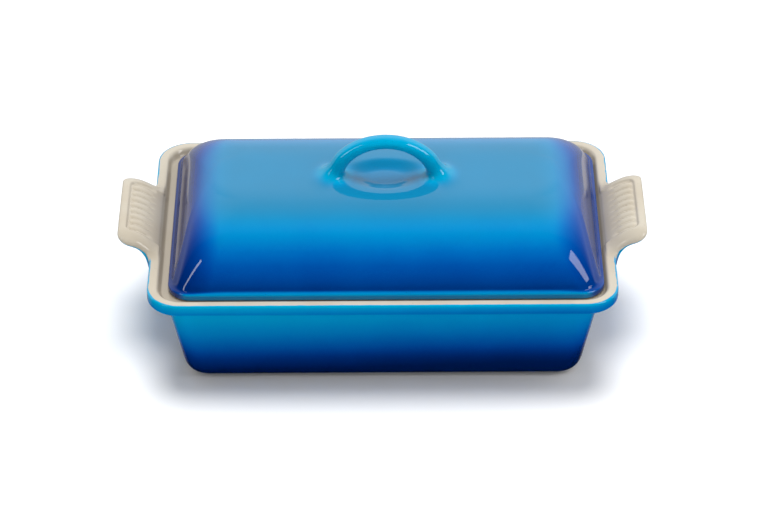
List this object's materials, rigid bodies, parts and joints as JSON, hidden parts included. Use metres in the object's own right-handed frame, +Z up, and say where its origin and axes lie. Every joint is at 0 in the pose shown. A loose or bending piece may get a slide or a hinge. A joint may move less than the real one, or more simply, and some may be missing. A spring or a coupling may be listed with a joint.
{
  "type": "covered rectangular baking dish",
  "caption": "Rectangular glazed stoneware baking dish with ribbed side grips and a domed lid with a loop handle that lifts off.",
  "frame": {"origin": "under the middle of the dish's base, on the table", "axes": "+X along the length through the side grips, +Y across the width towards the back, +Z up"},
  "size_m": [0.376, 0.212, 0.1518],
  "materials": {
    "dish_stoneware": "glossy glaze, azure at the rim fading to navy at the base outside, cream inside, on the rim's top and on the grips; bare fired clay on the foot ring",
    "lid_stoneware": "glossy glaze, azure on the crown and loop fading to navy at the lower slopes and ends, cream underneath"
  },
  "bodies": {
    "dish": {"baking_dish": "dish_stoneware"},
    "lid": {"lid": "lid_stoneware"}
  },
  "joints": [
    {"name": "lid_lift", "type": "slide", "parent": "dish", "child": "lid", "axis": [0, 0, 1], "range_m": [0, 0.12]}
  ]
}
